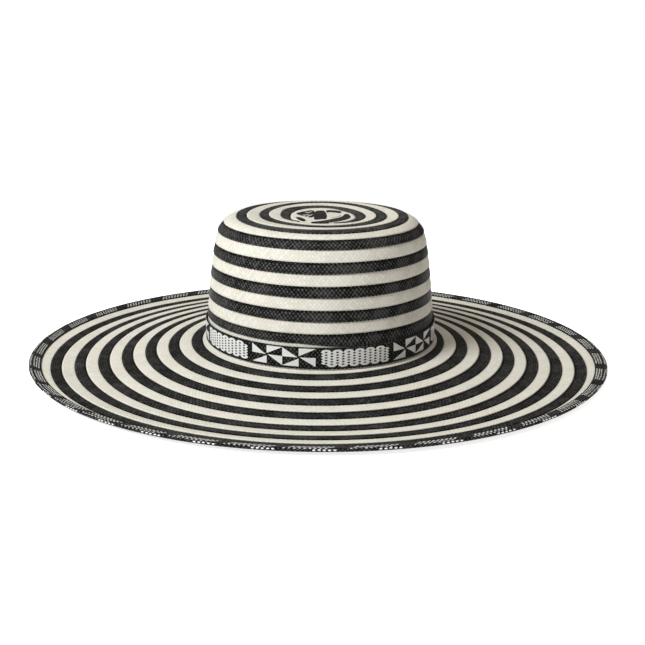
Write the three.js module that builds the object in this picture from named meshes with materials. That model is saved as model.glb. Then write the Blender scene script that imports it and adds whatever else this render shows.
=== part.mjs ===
// A wide-brimmed hat of flat straw plait, sewn in rows from the middle of the crown out to the rim.
// Millimetres, +Z up. The origin is on the surface that the hat rests on, below the middle of the rim.
// +X is the hat's right side as seen from the front, and -Y is its front.

import * as THREE from 'three';

// Rim and brim
const rimRadius = 230;          // to the outside of the edge plait
const brimWall = 1.4;           // thickness of one sewn layer of plait
const brimFall = 14.9;          // from the crown's foot at the sides down to the ring that it rests on

// Crown, an oval a little longer front to back
const footRadius = 90.2;        // half the width of the crown at its foot, outside
const crownDepthRatio = 1.03;   // front-to-back length over width
const crownCentreX = 1.3;       // the crown sits slightly right of the rim's middle
const crownCentreY = -2.9;      // and slightly to the front
const crownHeight = 115.3;      // from the surface below to the highest ring of the top
const crownDip = 0.8;           // how far the middle of the top lies below that ring
const crownWall = 1.6;
const buttonRadius = 24.4;      // the woven middle, where the first plait starts

// Band of patterned plait around the crown's foot
const bandHeight = 16.4;
const bandWall = 1.3;
const bandLift = 1.6;           // from the brim up to the band's lower edge

// Plait that finishes the rim, sewn to the brim edge to edge
const edgeWidth = 9.3;
const edgeWall = 1.6;
const edgeRound = 0.5;          // how far its outer corners are taken off

const gap = 0.3;                // between pieces that are sewn to each other
const segments = 72;            // steps round the hat

// Crown outline from the woven middle out and down to the foot.
// reach is a share of footRadius, drop a share of the height from the foot to the top.
const crownOutline = [
  { reach: buttonRadius / footRadius, drop: 0.007 },
  { reach: 0.510, drop: 0.004 },
  { reach: 0.704, drop: 0.001 },
  { reach: 0.748, drop: 0.000 },
  { reach: 0.779, drop: 0.006 },
  { reach: 0.812, drop: 0.022 },
  { reach: 0.851, drop: 0.049, isSeam: true },
  { reach: 0.883, drop: 0.081 },
  { reach: 0.907, drop: 0.128 },
  { reach: 0.928, drop: 0.215 },
  { reach: 0.950, drop: 0.348 },
  { reach: 0.973, drop: 0.524 },
  { reach: 0.993, drop: 0.740 },
  { reach: 1.000, drop: 0.860 },
  { reach: 1.000, drop: 1.000 },
];
const seamAt = crownOutline.findIndex(({ isSeam }) => isSeam);  // where the side is sewn to the top

// Brim from the crown out to the edge plait, seen at the front, at the sides and at the back.
// out is a share of the brim's width, rise a share of brimFall above the ring that it rests on.
const brimOutline = [
  { out: [0.00, 0.00, 0.00], rise: [0.940, 1.000, 1.054] },
  { out: [0.16, 0.16, 0.16], rise: [0.728, 0.775, 0.839] },
  { out: [0.32, 0.32, 0.32], rise: [0.507, 0.530, 0.604] },
  { out: [0.48, 0.48, 0.48], rise: [0.232, 0.302, 0.423] },
  { out: [0.64, 0.64, 0.64], rise: [0.020, 0.128, 0.262] },
  { out: [0.71, 0.80, 0.87], rise: [0.000, 0.000, 0.000] },
  { out: [0.78, 0.87, 0.94], rise: [0.000, 0.000, 0.000] },
  { out: [1.00, 1.00, 1.00], rise: [0.138, 0.107, 0.074] },
];
const rimRise = [0.275, 0.235, 0.195];  // the same, at the outside of the edge plait

const creamStraw = { color: 0xe2decd, roughness: 0.75, metalness: 0 };
const blackStraw = { color: 0x1d1c1d, roughness: 0.6, metalness: 0 };

// A value between its front, side and back amounts, for a direction whose sine is given
function around([front, side, back], sine) {
  const square = sine * sine;
  return side * (1 - square) + back * (square + sine) / 2 + front * (square - sine) / 2;
}

// A point on an oval round the crown's axis, radius measured to the side
function onCrownOval(radius, angle, z) {
  const x = crownCentreX + radius * Math.cos(angle);
  const y = crownCentreY + radius * crownDepthRatio * Math.sin(angle);
  return new THREE.Vector3(x, y, z);
}

function onRim(inset, angle, z) {
  const radius = rimRadius - inset;
  return new THREE.Vector3(radius * Math.cos(angle), radius * Math.sin(angle), z);
}

// Height of the brim's upper side where it meets the crown
function footHeight(angle) {
  return brimWall + brimFall * around(brimOutline[0].rise, Math.sin(angle));
}

// A closed body through one closed outline for each step round the hat.
// Each outline runs anticlockwise when it is seen with the hat's axis on the left.
function ringBody(outlineAt) {
  const outlines = [];
  for (let step = 0; step < segments; step += 1) {
    outlines.push(outlineAt(2 * Math.PI * step / segments));
  }
  const count = outlines[0].length;
  const index = [];
  for (let step = 0; step < segments; step += 1) {
    const next = (step + 1) % segments;
    for (let i = 0; i < count; i += 1) {
      const j = (i + 1) % count;
      const a = step * count + i;
      const b = step * count + j;
      const c = next * count + j;
      const d = next * count + i;
      index.push(a, c, b, a, d, c);
    }
  }
  const geometry = new THREE.BufferGeometry().setFromPoints(outlines.flat());
  geometry.setIndex(index);
  geometry.computeVertexNormals();
  return geometry;
}

// Direction of an open line in the (r, z) plane at one of its points
function directionAt(line, i) {
  const before = line[Math.max(i - 1, 0)];
  const after = line[Math.min(i + 1, line.length - 1)];
  return after.clone().sub(before).normalize();
}

// Outer and inner points of the crown's wall in one direction, from the middle to the foot
function crownWallLines(angle) {
  const foot = footHeight(angle);
  const outer = crownOutline.map(({ reach, drop }) =>
    new THREE.Vector2(reach * footRadius, crownHeight - drop * (crownHeight - foot)));
  outer[0].x += gap;
  outer[outer.length - 1].y -= brimWall;
  const inner = outer.map((point, i) => {
    const along = directionAt(outer, i);
    return new THREE.Vector2(point.x + along.y * crownWall, point.y - along.x * crownWall);
  });
  return { outer, inner, alongSeam: directionAt(outer, seamAt) };
}

// One stretch of the crown's wall, its seam end drawn back by shift along the wall
function crownSection(angle, first, last, shift) {
  const { outer, inner, alongSeam } = crownWallLines(angle);
  outer[seamAt].addScaledVector(alongSeam, shift);
  inner[seamAt].addScaledVector(alongSeam, shift);
  const section = [...inner.slice(first, last + 1), ...outer.slice(first, last + 1).reverse()];
  return section.map((point) => onCrownOval(point.x, angle, point.y));
}

// The woven middle of the crown, a thin oval plate
function buttonGeometry() {
  const top = crownHeight - crownDip;
  const rim = crownHeight - crownOutline[0].drop * (crownHeight - footHeight(0));
  const profile = [
    new THREE.Vector2(0, top - crownWall),
    new THREE.Vector2(buttonRadius, rim - crownWall),
    new THREE.Vector2(buttonRadius, rim),
    new THREE.Vector2(0, top),
  ];
  const geometry = new THREE.LatheGeometry(profile, segments);
  geometry.rotateX(Math.PI / 2);
  geometry.scale(1, crownDepthRatio, 1);
  geometry.translate(crownCentreX, crownCentreY, 0);
  return geometry;
}

// The flat top with its rounded shoulder, open in the middle for the woven button
function crownTopGeometry() {
  return ringBody((angle) => crownSection(angle, 0, seamAt, -gap / 2));
}

// The wall of the crown, down to the underside of the brim
function crownSideGeometry() {
  return ringBody((angle) => crownSection(angle, seamAt, crownOutline.length - 1, gap / 2));
}

// The band follows the foot of the crown all round, clear of the crown's wall and of the brim
function bandGeometry() {
  return ringBody((angle) => {
    const inner = footRadius + gap;
    const outer = inner + bandWall;
    const low = footHeight(angle) + bandLift;
    return [
      onCrownOval(inner, angle, low + bandHeight),
      onCrownOval(inner, angle, low),
      onCrownOval(outer, angle, low),
      onCrownOval(outer, angle, low + bandHeight),
    ];
  });
}

// Upper side of the brim in one direction, from the crown out to the edge plait
function brimLine(angle) {
  const inner = onCrownOval(footRadius + gap, angle, 0);
  const outer = onRim(edgeWidth + gap, angle, 0);
  return brimOutline.map(({ out, rise }) => {
    const sine = Math.sin(angle);
    const point = inner.clone().lerp(outer, around(out, sine));
    point.z = brimWall + brimFall * around(rise, sine);
    return point;
  });
}

function brimGeometry() {
  return ringBody((angle) => {
    const upper = brimLine(angle);
    const lower = upper.map((point) => point.clone().setZ(point.z - brimWall));
    return [...upper.reverse(), ...lower];
  });
}

// The edge plait carries the brim's slope on to the rim and has its outer corners rounded
function edgeGeometry() {
  return ringBody((angle) => {
    const inner = brimLine(angle).pop().z;
    const outer = brimWall + brimFall * around(rimRise, Math.sin(angle));
    const middle = (inner + outer - brimWall) / 2;
    const slope = (outer - inner) / edgeWidth;
    const at = (inset, lift) => onRim(inset, angle, middle + slope * (edgeWidth / 2 - inset) + lift);
    return [
      at(edgeWidth, edgeWall / 2),
      at(edgeWidth, -edgeWall / 2),
      at(edgeRound, -edgeWall / 2),
      at(0, edgeRound - edgeWall / 2),
      at(0, edgeWall / 2 - edgeRound),
      at(edgeRound, edgeWall / 2),
    ];
  });
}

function piece(name, geometry, finish) {
  const mesh = new THREE.Mesh(geometry, new THREE.MeshStandardMaterial(finish));
  mesh.name = name;
  return mesh;
}

const hat = new THREE.Group();
hat.add(
  piece('crown_button', buttonGeometry(), blackStraw),
  piece('crown_top', crownTopGeometry(), creamStraw),
  piece('crown_side', crownSideGeometry(), creamStraw),
  piece('hat_band', bandGeometry(), blackStraw),
  piece('brim', brimGeometry(), creamStraw),
  piece('brim_edge', edgeGeometry(), blackStraw),
);

export default hat;
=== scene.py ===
import math
import bpy
import numpy as np
from mathutils import Matrix, Vector


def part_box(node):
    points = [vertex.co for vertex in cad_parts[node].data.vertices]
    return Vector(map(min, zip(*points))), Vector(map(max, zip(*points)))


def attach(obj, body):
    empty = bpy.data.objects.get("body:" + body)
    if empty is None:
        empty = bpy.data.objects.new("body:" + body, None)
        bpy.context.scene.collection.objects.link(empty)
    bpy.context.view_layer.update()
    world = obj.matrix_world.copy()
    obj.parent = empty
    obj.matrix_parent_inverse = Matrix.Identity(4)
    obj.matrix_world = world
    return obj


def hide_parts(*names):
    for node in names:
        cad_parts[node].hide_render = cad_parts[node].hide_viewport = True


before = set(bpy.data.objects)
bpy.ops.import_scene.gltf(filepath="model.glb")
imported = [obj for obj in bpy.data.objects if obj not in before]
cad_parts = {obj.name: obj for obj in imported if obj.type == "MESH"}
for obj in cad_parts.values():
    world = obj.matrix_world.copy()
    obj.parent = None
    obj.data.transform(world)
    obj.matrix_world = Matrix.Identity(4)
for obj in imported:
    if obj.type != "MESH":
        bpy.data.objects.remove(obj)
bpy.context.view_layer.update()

# The crown: one long plait of cane straw, black and cream by turns, sewn in rows from the woven middle of
# the top out over the shoulder and down the wall. Each row laps over the next one like a shingle, so that
# its outer edge stands proud and throws a thin line of shade.
MM = 0.001
FULL_TURN = 2 * math.pi

wall_low, wall_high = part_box("crown_side")
CROWN_X = (wall_low.x + wall_high.x) / 2
CROWN_Y = (wall_low.y + wall_high.y) / 2
FOOT_RADIUS = (wall_high.x - wall_low.x) / 2
DEPTH_RATIO = (wall_high.y - wall_low.y) / (wall_high.x - wall_low.x)
CROWN_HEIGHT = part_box("crown_top")[1].z
FOOT_FRONT, FOOT_SIDE, FOOT_BACK = 15.4 * MM, 16.3 * MM, 17.1 * MM   # the brim's height where the crown rises

# reach is a share of the foot's radius, drop a share of the height from the foot to the top
CROWN_OUTLINE = [
    {"reach": 0.271, "drop": 0.007},
    {"reach": 0.510, "drop": 0.004},
    {"reach": 0.704, "drop": 0.001},
    {"reach": 0.748, "drop": 0.000},
    {"reach": 0.779, "drop": 0.006},
    {"reach": 0.812, "drop": 0.022},
    {"reach": 0.851, "drop": 0.049},
    {"reach": 0.883, "drop": 0.081},
    {"reach": 0.907, "drop": 0.128},
    {"reach": 0.928, "drop": 0.215},
    {"reach": 0.950, "drop": 0.348},
    {"reach": 0.973, "drop": 0.524},
    {"reach": 0.993, "drop": 0.740},
    {"reach": 1.000, "drop": 0.860},
    {"reach": 1.000, "drop": 1.000},
]
OUTLINE_STEPS = 400
CORNER_STEPS = 6               # how far a corner of the outline is rounded off to each side
SHOULDER = 90 * MM             # a row that ends nearer to the middle than this lies on the top
CROWN_PAIR = 17.36 * MM        # one black and one cream row, measured over the crown
FIRST_BLACK_ROW = 25.7 * MM    # from the middle of the top to the first black row
TOP_BLACK = 8.3 * MM           # a black row's width on the top and on the wall
WALL_BLACK = 8.45 * MM
LAST_BLACK = 9.8 * MM          # the last row runs on below the band's upper edge
BLACK_ROWS_ON_TOP = 4
BLACK_ROWS = 8
DRAWN_UP = 3.0 * MM            # but at the left, the front and the back it is drawn up by this much
DRAWN_UP_LEAST = math.radians(-20)     # counted anticlockwise from the hat's right side
DRAWN_UP_BASE, DRAWN_UP_SWING = 1.38, 2.2      # how it comes in to both sides of that direction

WEAVE_ALONG = 3.15 * MM        # one repeat of the weave along a row
WEAVE_ACROSS = 3.64 * MM       # and across it
STEPS_PER_WEAVE = 4            # mesh steps in one repeat
ACROSS_POINTS = 11             # mesh points across a row
LENGTH_POINTS = 181            # points by which a row's length is measured
PLAIT_THICKNESS = 0.85 * MM
LAP = 1.0 * MM                 # how far a row reaches under the one before it
SUNK = 0.55 * MM               # how deep the covered edge lies
PROUD = 0.40 * MM              # how far the free edge stands out
PILLOW = 0.12 * MM             # how far its middle bulges
CREAM_RELIEF = 0.05 * MM
BLACK_RELIEF = 0.10 * MM       # dyed strands are stiffer and stand up more
EDGE_SCALLOP = 0.14 * MM       # of the free edge, where the strands turn back
WANDER = 0.22 * MM             # how far a hand-sewn row strays

STRAND_STRAY = 0.7             # how unevenly the strands lie, as a share of a strand's width
SIDES_DOWN, ENDS_DOWN = 0.75, 0.55     # how far a strand's sides and ends lie below its crest
OTHER_WAY = 517.0              # added to a falling strand's number, so that no rising one has the same
FIBRES_ACROSS, FIBRES_ALONG = 9.0, 0.8
FIBRE_HEIGHT = 0.22            # of the fibres, beside the height of a strand
DULLER, GLOSSIER = 0.12, 0.08          # how far the fibres change the roughness each way
FULL_TONE = 0.95               # the tone that is fully in the straw's own colour
PATCHES = 60.0                 # of lighter and darker straw, to a metre
PATCH_SHARE = 1.4              # how much they weigh beside the differences between strands
WEAVE_DEPTH = 0.16 * MM

CREAM_FINISH = {
    "straw": (0.735, 0.715, 0.652), "shade": (0.450, 0.415, 0.340), "roughness": 0.62, "sheen": 0.25,
    "painted_glint": 0.0,
}
BLACK_FINISH = {
    "straw": (0.0720, 0.0725, 0.0730), "shade": (0.0040, 0.0038, 0.0036), "roughness": 0.34, "sheen": 0.02,
    "seam_shade": 0.0,
}
# painted shade across a row, from its covered edge to its free edge, as shares of the straw's own tone:
# darker where the row before laps over it, and on the black a darker and then a lighter line near the free
# edge
CREAM_ROW_SHADING = [(0.0, 0.80), (0.25, 0.93), (0.6, 0.95), (0.85, 1.0), (1.0, 1.0)]
BLACK_ROW_SHADING = [
    (0.0, 0.70), (0.28, 0.82), (0.36, 0.98), (0.76, 1.0), (0.83, 0.80), (0.90, 1.05), (1.0, 0.9),
]


def around(front, side, back, sine):
    """A value between its front, side and back amounts."""
    square = sine * sine
    return side * (1 - square) + back * (square + sine) / 2 + front * (square - sine) / 2


def softened(values, reach, rounds=3):
    """Evenly spaced values along a line, with its corners rounded off."""
    for _ in range(rounds):
        ahead = 2 * values[-1:] - values[-reach - 1:-1][::-1]
        behind = 2 * values[:1] - values[1:reach + 1][::-1]
        padded = np.concatenate([behind, values, ahead])
        kernel = np.ones(2 * reach + 1) / (2 * reach + 1)
        values = np.convolve(padded, kernel, mode="valid")
    return values


def crown_lines():
    """The crown's outline at the side: distance over the straw, reach and drop, at even steps."""
    reach = np.array([row["reach"] for row in CROWN_OUTLINE])
    drop = np.array([row["drop"] for row in CROWN_OUTLINE])
    rise = CROWN_HEIGHT - FOOT_SIDE
    legs = np.hypot(np.diff(reach) * FOOT_RADIUS, np.diff(drop) * rise)
    distance = reach[0] * FOOT_RADIUS + np.concatenate([[0], np.cumsum(legs)])
    even = np.linspace(distance[0], distance[-1], OUTLINE_STEPS)
    even_reach = softened(np.interp(even, distance, reach), CORNER_STEPS)
    even_drop = softened(np.interp(even, distance, drop), CORNER_STEPS)
    return even, even_reach, even_drop


CROWN_DISTANCE, CROWN_REACH, CROWN_DROP = crown_lines()


def foot_height(angle):
    return around(FOOT_FRONT, FOOT_SIDE, FOOT_BACK, np.sin(angle))


def on_crown(angle, distance):
    """Points on the crown, that far from the middle of the top over the straw."""
    reach = np.interp(distance, CROWN_DISTANCE, CROWN_REACH) * FOOT_RADIUS
    drop = np.interp(distance, CROWN_DISTANCE, CROWN_DROP)
    x = CROWN_X + reach * np.cos(angle)
    y = CROWN_Y + reach * DEPTH_RATIO * np.sin(angle)
    z = CROWN_HEIGHT - drop * (CROWN_HEIGHT - foot_height(angle))
    return np.stack(np.broadcast_arrays(x, y, z), axis=-1)


def outward(points):
    """Normals of a ring of points whose steps run anticlockwise and whose rows run outwards."""
    along = np.roll(points, -1, axis=0) - np.roll(points, 1, axis=0)
    over = np.gradient(points, axis=1)
    normal = np.cross(over, along)
    return normal / np.linalg.norm(normal, axis=-1, keepdims=True)


def piece_in_straw(name, mesh, material):
    """The finished mesh as a piece of the hat, in that straw."""
    mesh.materials.append(material)
    mesh.validate()
    piece = bpy.data.objects.new(name, mesh)
    bpy.context.scene.collection.objects.link(piece)
    return piece


def ring_object(name, outlines, uv_along, uv_across, row_share, material):
    """A body through one closed outline for each step all round, with the weave's counts as one UV map and
    the place across the row as another."""
    steps, count = outlines.shape[:2]
    first = np.arange(steps)[:, None] * count
    here = first + np.arange(count)
    beside = first + (np.arange(count) + 1) % count
    ahead = (here + count) % (steps * count)
    ahead_beside = (beside + count) % (steps * count)
    corners = np.stack([here, beside, ahead_beside, ahead], axis=-1).reshape(-1, 4)
    mesh = bpy.data.meshes.new(name)
    mesh.vertices.add(steps * count)
    mesh.vertices.foreach_set("co", outlines.reshape(-1).astype(np.float32))
    mesh.loops.add(corners.size)
    mesh.loops.foreach_set("vertex_index", corners.reshape(-1).astype(np.int32))
    mesh.polygons.add(len(corners))
    mesh.polygons.foreach_set("loop_start", np.arange(0, corners.size, 4, dtype=np.int32))
    mesh.update(calc_edges=True)
    u = np.stack([uv_along[:-1], uv_along[:-1], uv_along[1:], uv_along[1:]], axis=-1)
    for layer, across in (("weave", uv_across), ("row", row_share)):
        beyond = np.roll(across, -1)
        v = np.stack([across, beyond, beyond, across], axis=-1)
        uv = np.empty((steps, count, 4, 2), np.float32)
        uv[..., 0] = u[:, None, :]
        uv[..., 1] = v[None, :, :]
        mesh.uv_layers.new(name=layer).data.foreach_set("uv", uv.reshape(-1))
    mesh.polygons.foreach_set("use_smooth", np.ones(len(corners), bool))
    return piece_in_straw(name, mesh, material)


def plait_row(name, place, near, far, material, draws, relief,
              lap=LAP, sunk=SUNK, proud=PROUD, wander=WANDER, under=(-1, 0)):
    """One row of plait all round. place gives the hat's surface, and near and far are the row's two edges.
    under lists the points across the row that its underside follows too."""
    measured = np.linspace(0, FULL_TURN, LENGTH_POINTS)[:, None]
    middle = place(measured, np.full((1, 1), (np.mean(near) + np.mean(far)) / 2))
    length = np.linalg.norm(np.diff(middle[:, 0], axis=0), axis=-1).sum()
    repeats = round(length / WEAVE_ALONG)
    steps = repeats * STEPS_PER_WEAVE
    angle = FULL_TURN * np.arange(steps) / steps
    stray = sum(
        wander / wave * np.sin(wave * angle + draws.uniform(0, FULL_TURN)) for wave in (2, 3, 5, 8)
    )
    near = np.interp(angle, np.linspace(0, FULL_TURN, len(near)), near) - lap
    far = np.interp(angle, np.linspace(0, FULL_TURN, len(far)), far) + stray
    share = np.linspace(0, 1, ACROSS_POINTS)
    width = np.mean(far - near)
    weave_along = repeats * angle / FULL_TURN
    weave_across = share * width / WEAVE_ACROSS
    scallop = EDGE_SCALLOP * np.cos(FULL_TURN * weave_along)
    distance = near[:, None] + (far - near)[:, None] * share + scallop[:, None] * share ** 4
    base = place(angle[:, None], distance)
    normal = outward(base)
    lift = -sunk + (sunk + proud) * share + PILLOW * np.sin(math.pi * share)
    bumps = np.cos(FULL_TURN * weave_along)[:, None] * np.cos(FULL_TURN * weave_across)[None, :]
    height = lift + relief * bumps
    upper = base + normal * height[..., None]
    picks = list(under)
    lower = base[:, picks] + normal[:, picks] * (lift[picks] - PLAIT_THICKNESS)[None, :, None]
    outlines = np.concatenate([upper, lower], axis=1)
    uv_along = np.linspace(0, repeats, steps + 1)
    uv_across = np.concatenate([weave_across, weave_across[picks]])
    return ring_object(name, outlines, uv_along, uv_across, np.concatenate([share, share[picks]]), material)


def plait_straw(name, straw, shade, roughness, sheen, seam_shade, painted_glint, fibre, spread, hollow, row_shading=None):
    """Flat strands about 2.4 mm wide that cross over and under, with fine fibres along each.
    The tone runs from shade to straw. The four shares after sheen are how much of it is made by painted shade
    in the dark lines between strands, by a painted highlight on each strand's crest, by its fibres and by
    differences between strands. hollow is the tone that is fully in shade, and the last argument gives the
    share of the tone that is kept at places from a row's covered edge to its free edge, which paints light
    and shade across the row."""
    material = bpy.data.materials.new(name)
    material.use_nodes = True
    nodes, links = material.node_tree.nodes, material.node_tree.links
    shader = nodes["Principled BSDF"]

    def worked_out(operation, *inputs):
        node = nodes.new("ShaderNodeMath")
        node.operation = operation
        for socket, value in zip(node.inputs, inputs):
            if isinstance(value, (int, float)):
                socket.default_value = value
            else:
                links.new(value, socket)
        return node.outputs[0]

    def plus(first, second):
        return worked_out("ADD", first, second)

    def minus(first, second):
        return worked_out("SUBTRACT", first, second)

    def times(first, second):
        return worked_out("MULTIPLY", first, second)

    def either(fac, first, second):
        return plus(times(fac, second), times(minus(1.0, fac), first))

    def fall(place, sharpness):
        """From 0 in a strand's middle to 1 at its border."""
        return worked_out("POWER", times(worked_out("ABSOLUTE", place), 2.0), sharpness)

    def hump(place):
        """From 1 in a strand's middle to 0 at its border."""
        return minus(1.0, times(times(place, place), 4.0))

    def parts(vector):
        node = nodes.new("ShaderNodeSeparateXYZ")
        links.new(vector, node.inputs[0])
        return node.outputs

    def mapped(layer):
        node = nodes.new("ShaderNodeUVMap")
        node.uv_map = layer
        return node.outputs[0]

    def noise(place, scale, detail):
        node = nodes.new("ShaderNodeTexNoise")
        node.inputs["Scale"].default_value = scale
        node.inputs["Detail"].default_value = detail
        links.new(place, node.inputs["Vector"])
        return node.outputs

    # the strands run two ways, and no strand is quite straight or quite as wide as the next
    weave = mapped("weave")
    counts = parts(weave)
    strays = parts(noise(weave, scale=0.9, detail=1.0)["Color"])
    rising = plus(plus(counts[0], counts[1]), times(minus(strays[0], 0.5), STRAND_STRAY))
    falling = plus(minus(counts[0], counts[1]), times(minus(strays[1], 0.5), STRAND_STRAY))
    rising_strand = worked_out("ROUND", rising)
    falling_strand = worked_out("ROUND", falling)
    rising_across = minus(rising, rising_strand)
    falling_across = minus(falling, falling_strand)
    over = worked_out("GREATER_THAN", worked_out("PINGPONG", plus(rising_strand, falling_strand), 1.0), 0.5)
    across = either(over, rising_across, falling_across)
    along = either(over, falling_across, rising_across)
    strand = either(over, rising_strand, plus(falling_strand, OTHER_WAY))
    run = either(over, falling, rising)

    # each strand curves down to its sides and dives under its neighbours
    crest = minus(1.0, times(fall(across, sharpness=4.0), SIDES_DOWN))
    crest = minus(crest, times(fall(along, sharpness=3.0), ENDS_DOWN))
    # a painted highlight on each strand's crest, lightest in its middle
    glint_spot = times(hump(along), hump(across))

    # fine fibres run along each strand
    place = nodes.new("ShaderNodeCombineXYZ")
    links.new(times(across, FIBRES_ACROSS), place.inputs[0])
    links.new(times(run, FIBRES_ALONG), place.inputs[1])
    links.new(strand, place.inputs[2])
    fibres = noise(place.outputs[0], scale=1.0, detail=3.0)[0]
    tint = nodes.new("ShaderNodeTexWhiteNoise")
    tint.noise_dimensions = "1D"
    links.new(strand, tint.inputs["W"])
    patches = noise(nodes.new("ShaderNodeTexCoord").outputs["Object"], scale=PATCHES, detail=2.0)[0]

    # the tone: painted shade in the dips between strands, a painted highlight on each strand's crest, then
    # the fibres and the differences between strands
    tone = plus(times(crest, seam_shade), times(glint_spot, painted_glint))
    tone = plus(tone, times(fibres, fibre))
    tone = plus(tone, times(tint.outputs[0], spread))
    tone = plus(tone, times(patches, spread * PATCH_SHARE))
    # painted shade across the row, darkest at the covered edge under the row before
    if row_shading:
        kept = nodes.new("ShaderNodeValToRGB")
        for _ in range(len(row_shading) - 2):
            kept.color_ramp.elements.new(0.5)
        for element, (position, share) in zip(kept.color_ramp.elements, row_shading):
            element.position = position
            element.color = (share, share, share, 1)
        links.new(parts(mapped("row"))[1], kept.inputs[0])
        tone = times(tone, kept.outputs[0])
    colours = nodes.new("ShaderNodeValToRGB")
    colours.color_ramp.elements[0].position = hollow
    colours.color_ramp.elements[0].color = (*shade, 1)
    colours.color_ramp.elements[1].position = FULL_TONE
    colours.color_ramp.elements[1].color = (*straw, 1)
    links.new(tone, colours.inputs[0])
    links.new(colours.outputs[0], shader.inputs["Base Color"])
    gloss = nodes.new("ShaderNodeMapRange")
    gloss.inputs["To Min"].default_value = roughness + DULLER
    gloss.inputs["To Max"].default_value = roughness - GLOSSIER
    links.new(fibres, gloss.inputs["Value"])
    links.new(gloss.outputs[0], shader.inputs["Roughness"])
    bump = nodes.new("ShaderNodeBump")
    bump.inputs["Strength"].default_value = 0.8
    bump.inputs["Distance"].default_value = WEAVE_DEPTH
    links.new(plus(crest, times(fibres, FIBRE_HEIGHT)), bump.inputs["Height"])
    links.new(bump.outputs[0], shader.inputs["Normal"])
    shader.inputs["Specular IOR Level"].default_value = sheen
    return material


cream_plait = plait_straw(
    "cream_plait", **CREAM_FINISH, seam_shade=0.32, fibre=0.60, spread=0.26, hollow=0.26,
    row_shading=CREAM_ROW_SHADING,
)
black_plait = plait_straw(
    "black_plait", **BLACK_FINISH, painted_glint=0.56, fibre=0.48, spread=0.28, hollow=0.67,
    row_shading=BLACK_ROW_SHADING,
)
# a lighter copy of the black straw for the rows on the top, which face the light: painted light
lit_top_black = plait_straw(
    "lit_top_black", **BLACK_FINISH, painted_glint=0.40, fibre=0.52, spread=0.30, hollow=0.57,
    row_shading=BLACK_ROW_SHADING,
)

draws = np.random.default_rng(7)
turn = np.linspace(0, FULL_TURN, 721)      # the directions in which a row's edges are given


def same_all_round(distance):
    return np.full(len(turn), distance)


def all_round(values):
    """A smooth curve through values given at even steps round the hat, anticlockwise from its right side."""
    waves = np.fft.rfft(values) / len(values)
    waves[1:] *= 2
    if len(values) % 2 == 0:
        waves[-1] /= 2
    return sum((wave * np.exp(1j * number * turn)).real for number, wave in enumerate(waves))


# The start of the plait is folded into a long narrow middle, so the first rows round it are drawn out
# towards the back. These are their two edges, in millimetres from the middle, every 22.5 or 45 degrees.
FIRST_ROWS = [
    {
        "near": (
            26.3, 25.6, 26.0, 30.0, 32.5, 30.5, 27.0, 24.4, 23.8, 25.6, 29.5, 31.5, 32.5, 32.6, 31.0, 29.0,
        ),
        "far": (
            35.0, 35.0, 36.8, 40.3, 42.8, 42.5, 39.5, 34.5, 32.0, 31.6, 31.2, 31.0, 31.5, 33.0, 35.2, 35.4,
        ),
    },
    {
        "near": (43.4, 47.0, 54.0, 46.5, 40.9, 39.0, 41.9, 43.2),
        "far": (51.8, 55.0, 61.0, 54.0, 48.9, 47.4, 49.2, 51.2),
    },
    {
        "near": (61.0, 63.5, 66.0, 62.0, 58.4, 60.0, 60.4, 60.4),
        "far": (68.7, 70.0, 71.5, 69.0, 66.7, 69.5, 71.5, 70.5),
    },
]
crown_rows = []
for number in range(BLACK_ROWS):
    start = same_all_round(FIRST_BLACK_ROW + number * CROWN_PAIR)
    black_width = TOP_BLACK if number < BLACK_ROWS_ON_TOP else WALL_BLACK
    crown_rows.append(["black", start, start + black_width])
    crown_rows.append(["cream", start + black_width, start + CROWN_PAIR])
crown_rows.append(["cream", crown_rows[-1][2], same_all_round(CROWN_DISTANCE[-1])])
for number, edges in enumerate(FIRST_ROWS):
    black, cream = crown_rows[2 * number], crown_rows[2 * number + 1]
    black[1], black[2] = all_round(edges["near"]) * MM, all_round(edges["far"]) * MM
    cream[1] = black[2]
    if number > 0:
        crown_rows[2 * number - 1][2] = black[1]
# where the last black row is drawn up, a line of cream shows between it and the band
drawn_up = DRAWN_UP * np.clip(DRAWN_UP_BASE - DRAWN_UP_SWING * np.cos(turn - DRAWN_UP_LEAST), 0, 1)
crown_rows[-3][2] = crown_rows[-3][1] + LAST_BLACK - drawn_up
crown_rows[-2][1] = crown_rows[-3][2]

for number, (shade, near, far) in enumerate(crown_rows, 1):
    # the rows on the top take the lighter copy of the black straw, painted light
    dyed = lit_top_black if number < 2 * BLACK_ROWS_ON_TOP - 1 else black_plait
    material = dyed if shade == "black" else cream_plait
    name = f"crown_row_{number:02d}_{shade}"
    relief = BLACK_RELIEF if shade == "black" else CREAM_RELIEF
    row = plait_row(name, on_crown, near, far, material, draws, relief)
    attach(row, "root")
    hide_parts("crown_top" if far[0] < SHOULDER else "crown_side")

# The woven middle: the start of the plait, folded to and fro into a long narrow patch and sewn flat.
# Black and cream lie side by side in it, and its last fold runs out into the first row.
MIDDLE_LIFT = 0.35 * MM        # of the plate of cream folds above the crown's form
BLACK_LIFT = 0.62 * MM
CREAM_LIFT = BLACK_LIFT + 0.2 * MM     # of the cream folds that lie over the black ones
MIDDLE_STEPS = 240
MIDDLE_RINGS = 14
MIDDLE_REPEATS = 36            # of the weave round it
MIDDLE_WIDTH = 30 * MM
DIP_AT = (0, 24.4 * MM, 46 * MM)       # the top is sunk in its middle: how far at these distances from it
DIP = (0.8 * MM, 0.7 * MM, 0.4 * MM)

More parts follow.
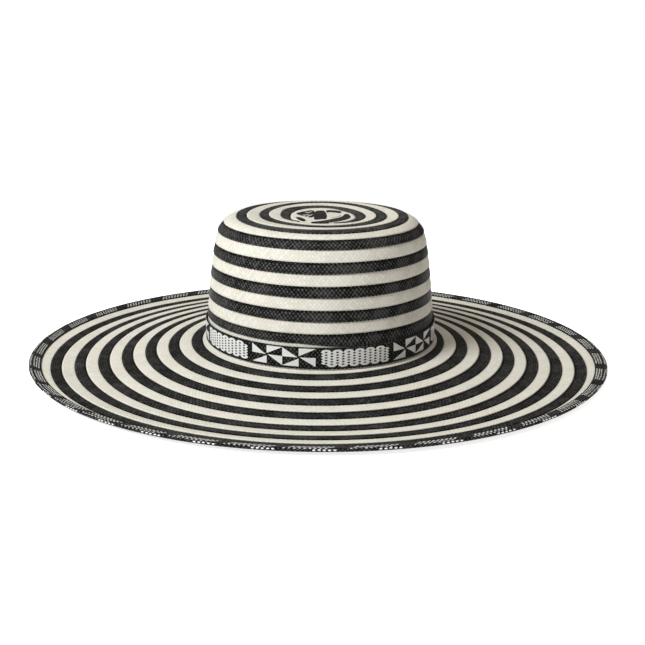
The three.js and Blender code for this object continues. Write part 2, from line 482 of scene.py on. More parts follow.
# outlines seen from above, in millimetres to the right of the crown's middle and to the back of it
BLACK_FOLDS = {
    "patch": [(-4.9, 17.8), (-0.7, 20.6), (3.5, 19.0), (5.0, -16.6), (-0.4, -18.6), (-5.4, -21.9),
              (-5.8, -1.3)],
    "left": [(-20.5, 6.5), (-15.0, 14.5), (-9.5, 20.5), (-5.2, 20.5), (-5.4, -6.0), (-8.1, -12.5),
             (-12.5, -6.0), (-17.0, -1.0)],
    "back": [(3.9, 23.0), (9.2, 22.0), (15.5, 18.5), (16.5, 13.0), (14.0, 9.0), (8.7, 10.8), (4.1, 11.5)],
    "front": [(-20.5, -9.8), (-16.0, -11.5), (-11.8, -21.5), (-12.0, -30.0), (-16.2, -26.0)],
    "crescent": [(-9.5, -33.0), (-2.0, -28.5), (4.3, -22.5), (10.0, -16.0), (14.6, -10.5), (17.6, -3.0),
                 (18.8, 5.8), (21.8, 4.6), (23.4, -5.0), (22.4, -13.8), (17.6, -23.0), (10.8, -30.2),
                 (4.3, -34.5), (-2.0, -37.0)],
}
CREAM_FOLDS = {
    "right": [(4.6, 11.0), (8.7, 10.8), (13.3, 8.5), (15.5, 3.0), (14.5, -6.5), (5.6, -17.2)],
    "strand_1": [(-11.2, -8.4), (-8.9, -2.0), (-7.0, 1.2), (-6.6, 0.0), (-8.4, -4.0), (-10.2, -9.6)],
    "strand_2": [(-14.6, -0.4), (-12.4, -2.0), (-10.0, 3.0), (-9.4, 2.0), (-12.0, -4.4), (-14.4, -1.8)],
    "strand_3": [(-12.4, 12.4), (-10.0, 10.0), (-7.4, 14.0), (-7.0, 12.8), (-10.1, 8.2), (-12.8, 11.2)],
}


def top_height(radius):
    """Height of the crown's form near its middle."""
    return CROWN_HEIGHT - np.interp(radius, DIP_AT, DIP)


def middle_base():
    """The cream folds as one plate that ends over the first row."""
    angle = FULL_TURN * np.arange(MIDDLE_STEPS) / MIDDLE_STEPS
    edge = np.interp(angle, turn, crown_rows[0][1])
    share = np.linspace(0.01, 1, MIDDLE_RINGS)
    reach = share[None, :] * edge[:, None]
    x = CROWN_X + reach * np.cos(angle)[:, None]
    y = CROWN_Y + DEPTH_RATIO * reach * np.sin(angle)[:, None]
    upper = np.stack([x, y, top_height(reach) + MIDDLE_LIFT], axis=-1)
    under = upper[:, ::-1] - np.array([0, 0, PLAIT_THICKNESS])
    outlines = np.concatenate([upper, under], axis=1)
    along = np.linspace(0, MIDDLE_REPEATS, MIDDLE_STEPS + 1)
    across = share * MIDDLE_WIDTH / WEAVE_ACROSS
    across = np.concatenate([across, across[::-1]])
    return ring_object("crown_middle", outlines, along, across, np.ones(2 * MIDDLE_RINGS), cream_plait)


def lay_weave(mesh, counts):
    """The weave's counts at each point, as the mesh's UV map."""
    points = np.empty(len(mesh.loops), np.int32)
    mesh.loops.foreach_get("vertex_index", points)
    weave = mesh.uv_layers.new(name="weave")
    weave.data.foreach_set("uv", counts[points].astype(np.float32).reshape(-1))


def folded_plate(name, outline, lift, material):
    """A flat piece of plait with its corners cut off. Its strands run across each other, front to back."""
    points = np.array(outline) * MM
    ahead = np.roll(points, -1, axis=0)
    points = np.stack([0.75 * points + 0.25 * ahead, 0.25 * points + 0.75 * ahead], axis=1).reshape(-1, 2)
    area = np.sum(points[:, 0] * np.roll(points[:, 1], -1) - np.roll(points[:, 0], -1) * points[:, 1])
    if area < 0:
        points = points[::-1]
    count = len(points)
    height = top_height(np.hypot(points[:, 0], points[:, 1])) + lift
    upper = np.column_stack([CROWN_X + points[:, 0], CROWN_Y + points[:, 1], height])
    lower = upper - np.array([0, 0, PLAIT_THICKNESS])
    sides = [(k, k + count, (k + 1) % count + count, (k + 1) % count) for k in range(count)]
    mesh = bpy.data.meshes.new(name)
    faces = [tuple(range(count)), tuple(range(2 * count - 1, count - 1, -1))] + sides
    mesh.from_pydata(np.concatenate([upper, lower]).tolist(), [], faces)
    lay_weave(mesh, (np.concatenate([points, points]) / [WEAVE_ACROSS, WEAVE_ALONG])[:, ::-1])
    return piece_in_straw(name, mesh, material)


plain_black = plait_straw("plain_black", **BLACK_FINISH, painted_glint=0.58, fibre=0.45, spread=0.20, hollow=0.72)
plain_cream = plait_straw("plain_cream", **CREAM_FINISH, seam_shade=0.30, fibre=0.60, spread=0.24, hollow=0.15)
middle = middle_base()
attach(middle, "root")
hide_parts("crown_button")
folds = [(f"middle_black_{part}", outline, BLACK_LIFT, plain_black) for part, outline in BLACK_FOLDS.items()]
folds += [(f"middle_cream_{part}", outline, CREAM_LIFT, plain_cream) for part, outline in CREAM_FOLDS.items()]
for name, outline, lift, material in folds:
    fold = folded_plate(name, outline, lift, material)
    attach(fold, "root")

# The hat band: a plait of black straw round the foot of the crown, with figures of white straw woven in.
# Pairs of pinwheels and dotted grids take turns, and the band's two ends meet at the back.
BAND_LIFT = 1.6 * MM           # from the brim up to the band's lower edge
BAND_HEIGHT = 16.4 * MM
band_low, band_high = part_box("hat_band")
BAND_RADIUS = (band_high.x - band_low.x) / 2
BAND_TURN = BAND_RADIUS * (1 + DEPTH_RATIO) / 2    # length of band to one radian
WHITE_STRAW = (0.840, 0.840, 0.825)
WHITE_FINISH = {
    "shade": (0.560, 0.555, 0.540), "roughness": 0.60, "sheen": 0.35,
    "seam_shade": 0.50, "painted_glint": 0.0, "fibre": 0.45, "spread": 0.06, "hollow": 0.15,
}
WHITE_ALONG = 0.68 * WEAVE_ALONG       # the white straw is split finer
WHITE_ACROSS = 0.62 * WEAVE_ACROSS

FIGURE_RAISE = 0.22 * MM
FIGURE_ROOT = 0.30 * MM        # how deep a figure is let into the plait below it
SAME_CORNER = np.array([1e-5, 1e-6, 1e-7])     # corners this near in angle, place and height are one
FRONT = -math.pi / 2
PANELS = 5                     # of each kind
FRONT_PANEL = 3                # the grid with this number stands at the front
PAIR_OF_PANELS = math.radians(70.0)
GRID_START = math.radians(0.6)         # from the front, to the right
PINWHEEL_START = math.radians(36.9)
GRID_TOP = 1.45 * MM           # from the band's upper edge down to a figure
PINWHEEL_TOP = 0.9 * MM
GRID_COLUMNS = 12
GRID_BARS = 6
GRID_COLUMN = 4.28 * MM
GRID_BAR = 2.04 * MM
HOLE_HALF_LENGTH = 1.15 * MM
HOLE_HALF_HEIGHT = 0.62 * MM
HOLE_STEPS = 16                # points round a hole, and round the cell that it stands in
TOOTH_LENGTH = 1.7 * MM
# the rounded end over a column, from left to right: how far from its middle in half columns, and its two
# edges in bars
GRID_END = [
    [(-1.90, -0.50, -0.49), (-1.62, -0.50, -0.10), (-1.35, -0.50, 0.20), (-1.0, -0.50, 0.36)],
    [(-1.0, 0.0, 0.36), (-0.5, 0.0, 0.44), (0.0, 0.0, 0.47), (0.5, 0.0, 0.44), (1.0, 0.0, 0.36)],
    [(1.0, -0.50, 0.36), (1.35, -0.50, 0.20), (1.62, -0.50, -0.10), (1.90, -0.50, -0.49)],
]
PINWHEEL_WIDTH = 25.4 * MM
PINWHEEL_HEIGHT = 13.7 * MM
PINWHEEL_EYE = 0.9 * MM        # the bare spot where the four blades meet
BLADE_STEPS = 8


def on_band(angle, down):
    """Points on the band's outside, that far below its upper edge."""
    x = CROWN_X + BAND_RADIUS * np.cos(angle)
    y = CROWN_Y + BAND_RADIUS * DEPTH_RATIO * np.sin(angle)
    z = foot_height(angle) + BAND_LIFT + BAND_HEIGHT - down
    return np.stack(np.broadcast_arrays(x, y, z), axis=-1)


def inlay(name, corners, faces, crest, place, weave_scale, material):
    """White straw let into a plait. corners are (angle, down) on the plait, and crest is each one's height
    above it. Where two faces share a corner, they are joined there."""
    corners, crest = np.asarray(corners), np.asarray(crest)
    key = np.round(np.column_stack([corners, crest]) / SAME_CORNER).astype(np.int64)
    _, first, joined = np.unique(key, axis=0, return_index=True, return_inverse=True)
    joined = joined.reshape(-1)
    corners, crest = corners[first], crest[first]
    faces = [[int(joined[corner]) for corner in face] for face in faces]
    angle, down = corners[:, 0], corners[:, 1]
    step = 1e-4
    base = place(angle, down)
    along = place(angle + step, down) - base
    over = place(angle, down + step) - base
    normal = np.cross(over, along)
    normal /= np.linalg.norm(normal, axis=-1, keepdims=True)
    upper = base + normal * crest[:, None]
    lower = base - normal * FIGURE_ROOT
    count = len(upper)
    edges = dict.fromkeys((here, there) for face in faces for here, there in zip(face, face[1:] + face[:1]))
    rim = [(here, there) for here, there in edges if (there, here) not in edges]
    sides = [(there, here, here + count, there + count) for here, there in rim]
    under = [[corner + count for corner in reversed(face)] for face in faces]
    mesh = bpy.data.meshes.new(name)
    mesh.from_pydata(np.concatenate([upper, lower]).tolist(), [], faces + sides + under)
    lay_weave(mesh, np.concatenate([corners, corners]) * weave_scale)
    return piece_in_straw(name, mesh, material)


def triangle_patch(first, second, third, steps, along, down):
    """Corners and faces of a flat triangle cut into small ones, so that it can follow the band."""
    corners, faces, rows = [], [], []
    for i in range(steps + 1):
        row = []
        for j in range(steps + 1 - i):
            a, b = i / steps, j / steps
            point = (1 - a - b) * np.array(first) + a * np.array(second) + b * np.array(third)
            row.append(len(corners))
            corners.append((along + point[0] / BAND_TURN, down + point[1]))
        rows.append(row)
    for i in range(steps):
        for j in range(steps - i):
            faces.append([rows[i][j], rows[i + 1][j], rows[i][j + 1]])
            if j < steps - i - 1:
                faces.append([rows[i + 1][j], rows[i + 1][j + 1], rows[i][j + 1]])
    return corners, faces


def gathered(patches):
    """Several patches as one list of corners and one of faces."""
    corners, faces = [], []
    for patch_corners, patch_faces in patches:
        faces += [[corner + len(corners) for corner in face] for face in patch_faces]
        corners += patch_corners
    return corners, faces


def facing_out(corners, faces):
    """The same faces, each turned so that its outline runs the way that faces outwards."""
    points = np.array(corners)
    turned = []
    for face in faces:
        x, y = points[face, 0], points[face, 1]
        area = np.sum(x * np.roll(y, -1) - np.roll(x, -1) * y)
        turned.append(face if area < 0 else face[::-1])
    return turned


def pinwheel(along, down):
    """Four blades round a small bare eye. along and down are the pinwheel's upper left corner."""
    wide, high = PINWHEEL_WIDTH, PINWHEEL_HEIGHT
    eye_x, eye_y = wide / 2, high / 2
    blades = [
        ((0, 0), (0, eye_y), (eye_x - PINWHEEL_EYE, eye_y)),
        ((eye_x, 0), (wide, 0), (eye_x, eye_y - PINWHEEL_EYE)),
        ((wide, eye_y), (wide, high), (eye_x + PINWHEEL_EYE, eye_y)),
        ((eye_x, high), (0, high), (eye_x, eye_y + PINWHEEL_EYE)),
    ]
    return [triangle_patch(*blade, BLADE_STEPS, along, down) for blade in blades]


def square_border():
    """Even steps round a square of half width 1, anticlockwise from the middle of its right side."""
    quarter = [(1.0, 0.0), (1.0, 0.5), (1.0, 1.0), (0.5, 1.0)]
    border = []
    for _ in range(4):
        border += quarter      # and then the same, a quarter turn further on
        quarter = [(-y, x) for x, y in quarter]
    return np.array(border)


def dotted_grid(along, down):
    """Six wavy white bars with black ovals between them, staggered from column to column."""
    patches = []
    way = np.arange(HOLE_STEPS) * FULL_TURN / HOLE_STEPS
    oval = np.stack([np.cos(way), np.sin(way)], axis=-1)
    cell_faces = []
    for here in range(HOLE_STEPS):
        there = (here + 1) % HOLE_STEPS
        cell_faces.append([here, there, there + HOLE_STEPS, here + HOLE_STEPS])
    for column in range(GRID_COLUMNS):
        middle = (column + 0.5) * GRID_COLUMN
        shift = 0.0 if column % 2 == 0 else 0.5
        for bar in range(GRID_BARS - 1):
            centre = np.array([middle, (bar + 1 + shift) * GRID_BAR])
            outer = centre + square_border() * [GRID_COLUMN / 2, GRID_BAR / 2]
            inner = centre + oval * [HOLE_HALF_LENGTH, HOLE_HALF_HEIGHT]
            corners = [(along + x / BAND_TURN, down + y) for x, y in np.concatenate([outer, inner])]
            patches.append((corners, cell_faces))
        # a rounded end over each second column, above on one and below on the next
        level, outwards = (0.5, -1) if column % 2 == 0 else (GRID_BARS, 1)
        for strip in GRID_END:
            corners = [
                (along + (middle + x * GRID_COLUMN / 2) / BAND_TURN, down + (level + outwards * y) * GRID_BAR)
                for x, low, high in strip for y in (low, high)
            ]
            faces = [[2 * k, 2 * k + 1, 2 * k + 3, 2 * k + 2] for k in range(len(strip) - 1)]
            patches.append((corners, faces))
    for side, edge in ((-1, 0.0), (1, GRID_COLUMNS * GRID_COLUMN)):
        shift = 0.5 if side < 0 else 1.0
        for tooth in range(GRID_BARS - 1):
            level = (tooth + shift) * GRID_BAR
            tip = (along + (edge + side * TOOTH_LENGTH) / BAND_TURN, down + level + 0.5 * GRID_BAR)
            root = along + edge / BAND_TURN
            corners = [
                (root, down + level),
                (root, down + level + 0.5 * GRID_BAR),
                (root, down + level + GRID_BAR),
                tip,
            ]
            patches.append((corners, [[0, 1, 3], [1, 2, 3]]))
    return patches


band_row = plait_row("band_plait", on_band, np.zeros(2), np.full(2, BAND_HEIGHT), plain_black, draws,
                     BLACK_RELIEF / 2, lap=0, sunk=0, proud=0, wander=0)
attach(band_row, "root")
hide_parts("hat_band")

white_plait = plait_straw("white_plait", WHITE_STRAW, **WHITE_FINISH)
panels = []
for number in range(1, PANELS + 1):
    pair = number - FRONT_PANEL
    start = FRONT + PINWHEEL_START + (pair - 1) * PAIR_OF_PANELS
    patches = pinwheel(start, PINWHEEL_TOP) + pinwheel(start + PINWHEEL_WIDTH / BAND_TURN, PINWHEEL_TOP)
    panels.append((f"band_pinwheels_{number}", patches))
    start = FRONT + GRID_START + pair * PAIR_OF_PANELS + TOOTH_LENGTH / BAND_TURN
    panels.append((f"band_grid_{number}", dotted_grid(start, GRID_TOP)))
for name, patches in panels:
    corners, faces = gathered(patches)
    crest = np.full(len(corners), FIGURE_RAISE)
    weave_scale = (BAND_TURN / WHITE_ALONG, 1 / WHITE_ACROSS)
    figure = inlay(name, corners, facing_out(corners, faces), crest, on_band, weave_scale, white_plait)
    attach(figure, "root")

# The brim: the same plait sewn on in rows outside the crown, seven black and eight cream, nearly flat.
# It falls a little from the crown, rests on a ring about four fifths of the way out and turns up at the rim.
rim_low, rim_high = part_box("brim")
BRIM_RADIUS = (rim_high.x - rim_low.x) / 2
BRIM_WALL = 1.4 * MM
BRIM_FALL = 14.9 * MM
ROWS_X, ROWS_Y = -0.55 * MM, -5.38 * MM      # middle of the oval on which the first black row starts
ROWS_HALF_WIDTH, ROWS_HALF_DEPTH = 92.4 * MM, 95.9 * MM
DRIFT_X, DRIFT_Y = 0.007, -0.009             # how far the rows move right and forward for each step out
BRIM_BLACK = 9.12 * MM
BRIM_CREAM = 9.37 * MM
BRIM_BLACK_ROWS = 7
CLEARANCE = 0.3 * MM
FOOT_TURN = 1.45 * MM          # how far its inner edge is turned up, to the band
FOOT_TURN_WIDTH = 3.4 * MM
FIRST_CREAM_LEAST = 3.8 * MM   # the first cream row shows at least this far out from the crown's foot
INTO_EDGE = 2.2 * MM           # how far the last row runs into the folded edge
INTO_EDGE_SUNK = 0.5 * MM      # and how deep its end lies there
UNDER_EDGE = 0.6 * MM          # where the row before it meets the edge, it ends this far under it
# on the brim the strands pull into fine ribs along the row, shown only as painted light and shade in lines
# along it, with painted shade at the covered edge as on the crown
BRIM_CREAM_SHADING = [
    (0.0, 0.80), (0.27, 0.93), (0.36, 1.03), (0.45, 0.86), (0.54, 1.04),
    (0.63, 0.86), (0.72, 1.04), (0.81, 0.87), (0.90, 1.06), (1.0, 0.97),
]
BRIM_BLACK_SHADING = [
    (0.0, 0.70), (0.27, 0.82), (0.36, 1.05), (0.45, 0.84), (0.54, 1.09),
    (0.63, 0.84), (0.72, 1.08), (0.81, 0.80), (0.90, 1.10), (1.0, 0.86),
]

# out is a share of the brim's width, rise a share of its fall above the ring that it rests on,
# each given for the front, the side and the back
BRIM_OUTLINE = [
    {"out": (0.00, 0.00, 0.00), "rise": (0.940, 1.000, 1.054)},
    {"out": (0.16, 0.16, 0.16), "rise": (0.728, 0.775, 0.839)},
    {"out": (0.32, 0.32, 0.32), "rise": (0.507, 0.530, 0.604)},
    {"out": (0.48, 0.48, 0.48), "rise": (0.232, 0.302, 0.423)},
    {"out": (0.64, 0.64, 0.64), "rise": (0.020, 0.128, 0.262)},
    {"out": (0.71, 0.80, 0.87), "rise": (0.000, 0.000, 0.000)},
    {"out": (0.78, 0.87, 0.94), "rise": (0.000, 0.000, 0.000)},
    {"out": (1.00, 1.00, 1.00), "rise": (0.138, 0.107, 0.074)},
]
SHARES = 240                   # steps in the table of heights
BRIM_CORNER_STEPS = 9
HOMING_ROUNDS = 6              # after which the ovals of brim_height have closed in on the point


def brim_heights():
    """Height of the brim's upper side for sines from -1 to 1 and shares of its width from 0 to 1."""
    shares = np.linspace(0, 1, SHARES + 1)
    table = []
    for sine in np.linspace(-1, 1, SHARES + 1):
        out = [around(*row["out"], sine) for row in BRIM_OUTLINE]
        rise = [around(*row["rise"], sine) for row in BRIM_OUTLINE]
        table.append(BRIM_WALL + BRIM_FALL * softened(np.interp(shares, out, rise), BRIM_CORNER_STEPS))
    return np.array(table)


BRIM_HEIGHTS = brim_heights()


def brim_height(x, y):
    """Height of the brim's upper side. Ovals between the crown's foot and the rim close in on the one that
    passes through the point, which gives its share of the brim's width."""
    share = np.zeros_like(x)
    for _ in range(HOMING_ROUNDS):
        middle_x, middle_y = CROWN_X * (1 - share), CROWN_Y * (1 - share)
        half_x = FOOT_RADIUS + (BRIM_RADIUS - FOOT_RADIUS) * share
        half_y = FOOT_RADIUS * DEPTH_RATIO * (1 - share) + BRIM_RADIUS * share
        angle = np.arctan2((y - middle_y) / half_y, (x - middle_x) / half_x)
        inner_x = CROWN_X + FOOT_RADIUS * np.cos(angle)
        inner_y = CROWN_Y + FOOT_RADIUS * DEPTH_RATIO * np.sin(angle)
        run_x = BRIM_RADIUS * np.cos(angle) - inner_x
        run_y = BRIM_RADIUS * np.sin(angle) - inner_y
        share = ((x - inner_x) * run_x + (y - inner_y) * run_y) / (run_x ** 2 + run_y ** 2)
    column = np.clip(share, 0, 1) * SHARES
    line = (np.sin(angle) + 1) / 2 * SHARES
    left = np.minimum(column.astype(int), SHARES - 1)
    low = np.minimum(line.astype(int), SHARES - 1)
    fx, fy = column - left, line - low
    near = BRIM_HEIGHTS[low, left] * (1 - fx) + BRIM_HEIGHTS[low, left + 1] * fx
    far = BRIM_HEIGHTS[low + 1, left] * (1 - fx) + BRIM_HEIGHTS[low + 1, left + 1] * fx
    beyond = np.maximum(share - 1, 0) * SHARES * (BRIM_HEIGHTS[low, -1] - BRIM_HEIGHTS[low, -2])
    return near * (1 - fy) + far * fy + beyond


def rows_oval(angle):
    """Point and outward direction, in plan, of the oval that the brim's rows follow."""
    x, y = ROWS_X + ROWS_HALF_WIDTH * np.cos(angle), ROWS_Y + ROWS_HALF_DEPTH * np.sin(angle)
    across, deep = np.cos(angle) / ROWS_HALF_WIDTH, np.sin(angle) / ROWS_HALF_DEPTH
    size = np.hypot(across, deep)
    return x, y, across / size, deep / size


def on_brim(angle, offset):
    """Points on the brim, that far out from the rows' oval."""
    x, y, across, deep = rows_oval(angle)
    x, y = x + offset * (across + DRIFT_X), y + offset * (deep + DRIFT_Y)
    return np.stack([x, y, brim_height(x, y)], axis=-1)


def offset_to(angle, middle_x, middle_y, half_width, half_depth):
    """How far out from the rows' oval another oval lies, from a quadratic equation in that distance."""
    x, y, across, deep = rows_oval(angle)
    a = (across / half_width) ** 2 + (deep / half_depth) ** 2
    b = (x - middle_x) * across / half_width ** 2 + (y - middle_y) * deep / half_depth ** 2
    c = ((x - middle_x) / half_width) ** 2 + ((y - middle_y) / half_depth) ** 2 - 1
    return (-b + np.sqrt(b * b - a * c)) / a


at_crown = offset_to(turn, CROWN_X, CROWN_Y, FOOT_RADIUS + CLEARANCE, FOOT_RADIUS * DEPTH_RATIO + CLEARANCE)
at_rim = offset_to(turn, 0, 0, BRIM_RADIUS, BRIM_RADIUS)
brim_rows = [("cream", at_crown + LAP, np.maximum(0, at_crown + FIRST_CREAM_LEAST))]
for number in range(BRIM_BLACK_ROWS):
    start = number * (BRIM_BLACK + BRIM_CREAM)
    seam = same_all_round(start + BRIM_BLACK)
    brim_rows.append(("black", np.maximum(start, at_crown + LAP), seam))
    brim_rows.append(("cream", seam, seam + BRIM_CREAM))
# the last cream row ends in the folded edge, and at the front the black one reaches it too
last_start = brim_rows[-2][1]
last_seam = np.minimum(brim_rows[-2][2], at_rim + UNDER_EDGE)
brim_rows[-2:] = [("black", last_start, last_seam), ("cream", last_seam, at_rim + INTO_EDGE)]


def on_first_row(angle, offset):
    """Points on the brim beside the crown, where the first row turns up to the band."""
    points = on_brim(angle, offset)
    foot = np.interp(np.asarray(angle) % FULL_TURN, turn, at_crown)
    away = np.clip((offset - foot) / FOOT_TURN_WIDTH, 0, 1)
    points[..., 2] += FOOT_TURN * (1 - away) ** 2
    return points


brim_black = plait_straw(
    "brim_black", **BLACK_FINISH, painted_glint=0.30, fibre=0.66, spread=0.22, hollow=0.63,
    row_shading=BRIM_BLACK_SHADING,
)
brim_cream = plait_straw(
    "brim_cream", **CREAM_FINISH, seam_shade=0.32, fibre=0.72, spread=0.20, hollow=0.17,
    row_shading=BRIM_CREAM_SHADING,
)
for number, (shade, near, far) in enumerate(brim_rows, 1):
    material = brim_black if shade == "black" else brim_cream
    relief = BLACK_RELIEF if shade == "black" else CREAM_RELIEF
    place = on_first_row if number == 1 else on_brim
    proud = -INTO_EDGE_SUNK if number == len(brim_rows) else PROUD
    row = plait_row(f"brim_row_{number:02d}_{shade}", place, near, far, material, draws, relief, proud=proud)
    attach(row, "root")
    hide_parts("brim")

# The edge: a black plait folded over the rim and sewn through, with short white dashes woven in.
# The dashes stand in slanting blocks with plain black between them.
EDGE_WIDTH = 9.3 * MM
EDGE_LAP = 0.2 * MM            # how far it reaches in over the last row
FOLD_RADIUS = 1.15 * MM
RIM_RISE = (0.275, 0.235, 0.195)   # at the outside of the edge, a share of the brim's fall
edge_low, edge_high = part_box("brim_edge")
RIM_RADIUS = (edge_high.x - edge_low.x) / 2
EDGE_RUN = EDGE_WIDTH + EDGE_LAP - FOLD_RADIUS      # flat part of the fold, above and below
EDGE_GIRTH = 2 * EDGE_RUN + math.pi * FOLD_RADIUS
FOLD_INSIDE = (-1, 7, 5, 3, 0)     # the points across the plait that the fold's inside follows too

DASH_BLOCKS = 35
DASH_PITCH = 3.3 * MM
DASH_HALF_LENGTH = 1.05 * MM
DASH_HALF_WIDTH = 0.56 * MM
DASH_CREST = 0.25 * MM
DASH_CORNERS = 8
DASH_RINGS = [(0.6, 0.75), (1.0, 0.2)]     # how far out and how high, as shares of its size and its crest
STRAY_ALONG, STRAY_ACROSS, STRAY_TILT = 0.12 * MM, 0.10 * MM, 0.08
DASH_STRAW = (0.700, 0.700, 0.690)
# the blocks are not quite evenly long: where some of them start, in degrees from the hat's right side
BLOCK_STARTS = [
    (0, 12.1), (4, 54.3), (11, 123.8), (16, 177.5), (19, 206.1), (25, 264.9), (30, 317.9), (35, 372.1),
]
# girth is the distance over the plait from its inner edge, start where the row's dashes begin in a block
DASH_ROWS = [
    {"girth": 1.7 * MM, "start": 5.6 * MM, "count": 9},
    {"girth": 3.5 * MM, "start": 4.2 * MM, "count": 9},
    {"girth": 5.3 * MM, "start": 2.8 * MM, "count": 9},
    {"girth": 7.9 * MM, "start": 0.0 * MM, "count": 9},
    {"girth": 9.9 * MM, "start": 19.0 * MM, "count": 5},
]


def on_edge(angle, girth):
    """Points on the folded plait, that far over it from its inner edge above to its inner edge below."""
    angle, girth = np.broadcast_arrays(angle, girth)
    bend = np.clip((girth - EDGE_RUN) / FOLD_RADIUS, 0, math.pi)
    past = np.maximum(girth - EDGE_RUN - math.pi * FOLD_RADIUS, 0)
    inset = np.where(girth < EDGE_RUN, EDGE_WIDTH + EDGE_LAP - girth, FOLD_RADIUS * (1 - np.sin(bend)) + past)
    lift = FOLD_RADIUS * np.cos(bend)
    inner = np.interp(np.sin(angle), np.linspace(-1, 1, SHARES + 1), BRIM_HEIGHTS[:, -1])
    outer = BRIM_WALL + BRIM_FALL * around(*RIM_RISE, np.sin(angle))
    slope = (outer - inner) / EDGE_WIDTH
    radius = RIM_RADIUS - inset
    z = (inner + outer - BRIM_WALL) / 2 + slope * (EDGE_WIDTH / 2 - inset) + lift
    return np.stack([radius * np.cos(angle), radius * np.sin(angle), z], axis=-1)


edge_row = plait_row("edge_plait", on_edge, np.zeros(2), np.full(2, EDGE_GIRTH), plain_black, draws,
                     BLACK_RELIEF / 2, lap=0, sunk=0, proud=0, wander=0, under=FOLD_INSIDE)
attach(edge_row, "root")
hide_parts("brim_edge")


def dash(along, girth, tilt):
    """One white strand's crossing: a small domed oval, a little tilted."""
    way = np.arange(DASH_CORNERS) * FULL_TURN / DASH_CORNERS
    corners, crest = [(along, girth)], [DASH_CREST]
    for share, height in DASH_RINGS:
        x = share * DASH_HALF_LENGTH * np.cos(way)
        y = share * DASH_HALF_WIDTH * np.sin(way) + tilt * x
        corners += [(along + dx / RIM_RADIUS, girth + dy) for dx, dy in zip(x, y)]
        crest += [height * DASH_CREST] * DASH_CORNERS
    sides = [(here, here % DASH_CORNERS + 1) for here in range(1, DASH_CORNERS + 1)]
    faces = [[0, here, there] for here, there in sides]
    faces += [[here, here + DASH_CORNERS, there + DASH_CORNERS, there] for here, there in sides]
    return corners, faces, crest


dash_plait = plait_straw("dash_plait", DASH_STRAW, **WHITE_FINISH)
block_starts = np.radians(np.interp(range(DASH_BLOCKS), *zip(*BLOCK_STARTS)))
for row, spec in enumerate(DASH_ROWS, 1):
    corners, faces, crest = [], [], []
    for block_start in block_starts:
        for number in range(spec["count"]):
            along = block_start + (spec["start"] + number * DASH_PITCH) / RIM_RADIUS
            along += draws.normal(0, STRAY_ALONG) / RIM_RADIUS
            girth = spec["girth"] + draws.normal(0, STRAY_ACROSS)
            more_corners, more_faces, more_crest = dash(along, girth, draws.normal(0, STRAY_TILT))
            faces += [[corner + len(corners) for corner in face] for face in more_faces]
            corners += more_corners
            crest += more_crest
    dashes = inlay(f"edge_dashes_{row}", corners, facing_out(corners, faces), crest, on_edge,
                   (RIM_RADIUS / WEAVE_ALONG, 1 / WEAVE_ACROSS), dash_plait)
    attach(dashes, "root")

# Floor, light and camera: a plain pale floor under one soft light, high on the left and in front, with warmer
# light all round, and the camera at the photograph's height and distance.
FLOOR_HALF = 0.55
floor_mesh = bpy.data.meshes.new("floor")
floor_corners = [(x * FLOOR_HALF, y * FLOOR_HALF, 0) for x, y in ((-1, -1), (1, -1), (1, 1), (-1, 1))]
floor_mesh.from_pydata(floor_corners, [], [(0, 1, 2, 3)])
floor = bpy.data.objects.new("floor", floor_mesh)
bpy.context.scene.collection.objects.link(floor)
pale = bpy.data.materials.new("pale_floor")
pale.use_nodes = True
pale_shader = pale.node_tree.nodes["Principled BSDF"]
pale_shader.inputs["Base Color"].default_value = (1.0, 0.985, 0.985, 1)
pale_shader.inputs["Roughness"].default_value = 1.0
pale_shader.inputs["Specular IOR Level"].default_value = 0.0
# it glows a little, so that the hat's shadow stays faint
pale_shader.inputs["Emission Color"].default_value = (1, 1, 1, 1)
pale_shader.inputs["Emission Strength"].default_value = 0.80
floor_mesh.materials.append(pale)

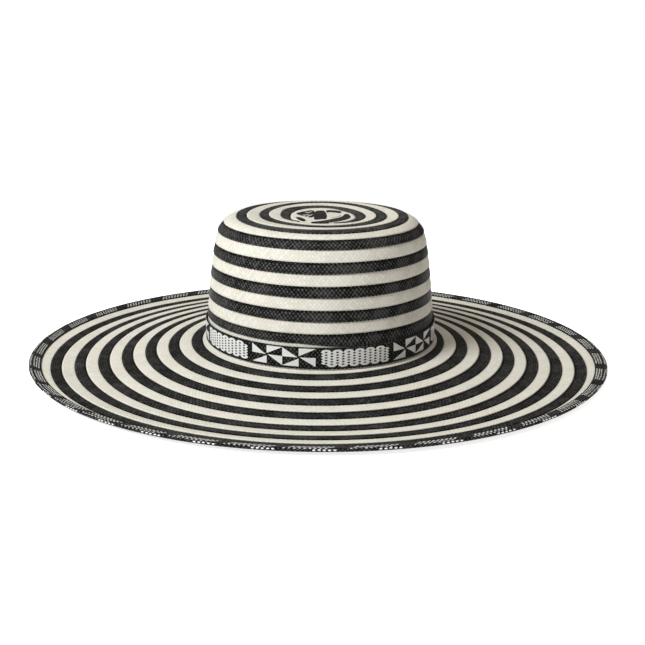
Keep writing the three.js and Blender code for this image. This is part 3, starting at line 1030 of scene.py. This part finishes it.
KEY_FROM = Vector((-0.543, -0.458, 0.704))
KEY_DISTANCE = 2.7
key = bpy.data.lights.new("key_light", "AREA")
key.shape = "DISK"
key.size = 1.15
key.energy = 74
key.color = (0.965, 1.0, 1.0)
key_lamp = bpy.data.objects.new("key_light", key)
key_lamp.rotation_mode = "QUATERNION"
key_lamp.rotation_quaternion = (-KEY_FROM).to_track_quat("-Z", "Y")
key_lamp.location = KEY_FROM * KEY_DISTANCE
bpy.context.scene.collection.objects.link(key_lamp)

# the room's light grows from the horizon to overhead, and the camera sees plain white behind the hat
world = bpy.data.worlds.new("studio")
bpy.context.scene.world = world
world.use_nodes = True
world_nodes, world_links = world.node_tree.nodes, world.node_tree.links
room = world_nodes["Background"]
room.inputs["Color"].default_value = (1.0, 0.92, 0.81, 1)
direction = world_nodes.new("ShaderNodeTexCoord")
height_of = world_nodes.new("ShaderNodeSeparateXYZ")
world_links.new(direction.outputs["Generated"], height_of.inputs[0])
overhead = world_nodes.new("ShaderNodeValToRGB")
overhead.color_ramp.elements[0].position = 0.0
overhead.color_ramp.elements[0].color = (0.12, 0.12, 0.12, 1)
overhead.color_ramp.elements[1].position = 1.0
overhead.color_ramp.elements[1].color = (0.54, 0.54, 0.54, 1)
overhead.color_ramp.interpolation = "EASE"
world_links.new(height_of.outputs[2], overhead.inputs[0])
world_links.new(overhead.outputs[0], room.inputs["Strength"])
backdrop = world_nodes.new("ShaderNodeBackground")
backdrop.inputs["Color"].default_value = (1, 1, 1, 1)
seen = world_nodes.new("ShaderNodeLightPath")
either = world_nodes.new("ShaderNodeMixShader")
world_links.new(seen.outputs["Is Camera Ray"], either.inputs[0])
world_links.new(room.outputs[0], either.inputs[1])
world_links.new(backdrop.outputs[0], either.inputs[2])
world_links.new(either.outputs[0], world_nodes["World Output"].inputs["Surface"])
bpy.context.scene.view_settings.view_transform = "Standard"

CAMERA_PLACE = Vector((3.148 * MM, -938.44 * MM, 279.73 * MM))
CAMERA_PITCH = math.radians(74.892)
CAMERA_ROLL = math.radians(0.514)
camera_data = bpy.data.cameras.new("camera")
camera_data.sensor_width = 36.0
camera_data.lens = 66.89
camera = bpy.data.objects.new("camera", camera_data)
camera_turn = Matrix.Rotation(CAMERA_PITCH, 4, "X") @ Matrix.Rotation(CAMERA_ROLL, 4, "Z")
camera.matrix_world = Matrix.Translation(CAMERA_PLACE) @ camera_turn
bpy.context.scene.collection.objects.link(camera)
bpy.context.scene.camera = camera
